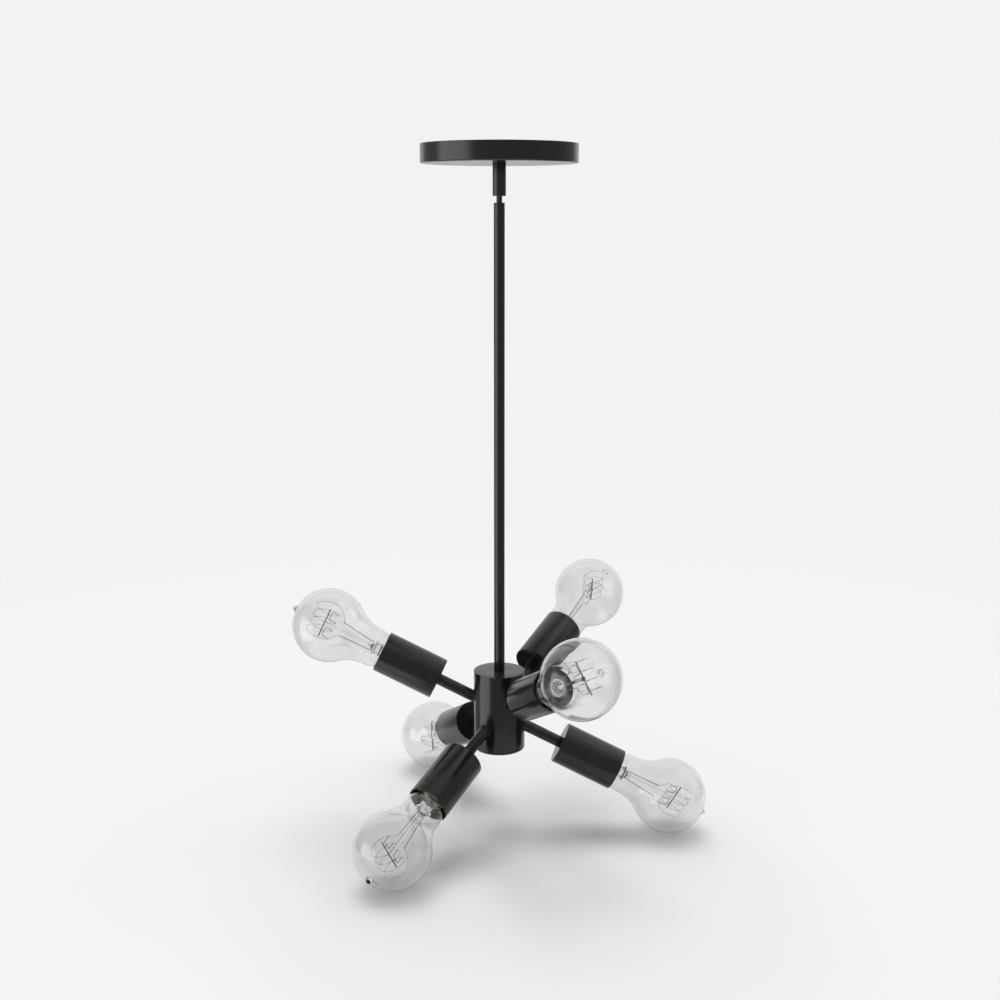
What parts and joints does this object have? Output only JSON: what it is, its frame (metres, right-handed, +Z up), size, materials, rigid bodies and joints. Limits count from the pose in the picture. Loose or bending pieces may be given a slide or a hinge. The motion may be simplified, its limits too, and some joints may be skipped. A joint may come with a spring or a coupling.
{
  "type": "sputnik chandelier",
  "caption": "Sputnik chandelier: bare clear filament lamps in black cups on slanting arms round a small drum, hung by a rigid stem from a flat canopy with a ball swivel",
  "frame": {"origin": "centre of the canopy's rim, in the plane of the ceiling", "axes": "+Z up to the ceiling, along the stem; +X along the mounting strap and over one falling arm; arms every 60 degrees, falling and rising in turn"},
  "size_m": [0.3394, 0.302, 0.5497],
  "materials": {
    "black_paint": "satin black powder coat",
    "zinc_steel": "bright zinc plate",
    "green_screw": "green passivated earth screw",
    "brass": "drawn brass, slightly dulled",
    "black_phenolic": "moulded black phenolic",
    "clear_glass": "clear blown glass",
    "mount_glass": "clear pressed glass",
    "lamp_wire": "drawn nickel and carbon wire"
  },
  "bodies": {
    "canopy": {"canopy": "black_paint", "mounting_strap": "zinc_steel", "ground_screw": "green_screw", "nipple": "zinc_steel", "nipple_nut": "zinc_steel"},
    "swivel_barrel": {"swivel_barrel": "black_paint"},
    "swivel_stud": {"swivel_stud": "black_paint"},
    "stem": {"stem_tube": "black_paint", "stem_nut": "zinc_steel", "hub_body": "black_paint", "hub_lid": "black_paint", "cup_nuts": "zinc_steel", "screw_shells": "brass", "centre_contacts": "brass", "arm_1": "black_paint", "cup_1": "black_paint", "holder_1": "black_phenolic", "arm_2": "black_paint", "cup_2": "black_paint", "holder_2": "black_phenolic", "arm_3": "black_paint", "cup_3": "black_paint", "holder_3": "black_phenolic", "arm_4": "black_paint", "cup_4": "black_paint", "holder_4": "black_phenolic", "arm_5": "black_paint", "cup_5": "black_paint", "holder_5": "black_phenolic", "arm_6": "black_paint", "cup_6": "black_paint", "holder_6": "black_phenolic"},
    "bulb_1": {"bulb_glass_1": "clear_glass", "bulb_base_1": "brass", "bulb_mount_1": "mount_glass", "bulb_wires_1": "lamp_wire"},
    "bulb_2": {"bulb_glass_2": "clear_glass", "bulb_base_2": "brass", "bulb_mount_2": "mount_glass", "bulb_wires_2": "lamp_wire"},
    "bulb_3": {"bulb_glass_3": "clear_glass", "bulb_base_3": "brass", "bulb_mount_3": "mount_glass", "bulb_wires_3": "lamp_wire"},
    "bulb_4": {"bulb_glass_4": "clear_glass", "bulb_base_4": "brass", "bulb_mount_4": "mount_glass", "bulb_wires_4": "lamp_wire"},
    "bulb_5": {"bulb_glass_5": "clear_glass", "bulb_base_5": "brass", "bulb_mount_5": "mount_glass", "bulb_wires_5": "lamp_wire"},
    "bulb_6": {"bulb_glass_6": "clear_glass", "bulb_base_6": "brass", "bulb_mount_6": "mount_glass", "bulb_wires_6": "lamp_wire"}
  },
  "joints": [
    {"name": "swivel_turn", "type": "hinge", "parent": "canopy", "child": "swivel_barrel", "pos_m": [0, 0, -0.0144], "axis": [0, 0, 1], "range_deg": [-180, 180]},
    {"name": "swivel_tilt", "type": "hinge", "parent": "swivel_barrel", "child": "swivel_stud", "pos_m": [0, 0, -0.0342], "axis": [1, 0, 0], "range_deg": [-15, 15]},
    {"name": "stem_turn", "type": "hinge", "parent": "swivel_stud", "child": "stem", "pos_m": [0, 0, -0.0436], "axis": [0, 0, 1], "range_deg": [-180, 180]},
    {"name": "bulb_1_out", "type": "slide", "parent": "stem", "child": "bulb_1", "axis": [0.9003, 0, -0.4352], "range_m": [0, 0.032]},
    {"name": "bulb_2_out", "type": "slide", "parent": "stem", "child": "bulb_2", "axis": [0.4502, 0.7797, 0.4352], "range_m": [0, 0.032]},
    {"name": "bulb_3_out", "type": "slide", "parent": "stem", "child": "bulb_3", "axis": [-0.4502, 0.7797, -0.4352], "range_m": [0, 0.032]},
    {"name": "bulb_4_out", "type": "slide", "parent": "stem", "child": "bulb_4", "axis": [-0.9003, 0, 0.4352], "range_m": [0, 0.032]},
    {"name": "bulb_5_out", "type": "slide", "parent": "stem", "child": "bulb_5", "axis": [-0.4502, -0.7797, -0.4352], "range_m": [0, 0.032]},
    {"name": "bulb_6_out", "type": "slide", "parent": "stem", "child": "bulb_6", "axis": [0.4502, -0.7797, 0.4352], "range_m": [0, 0.032]}
  ]
}
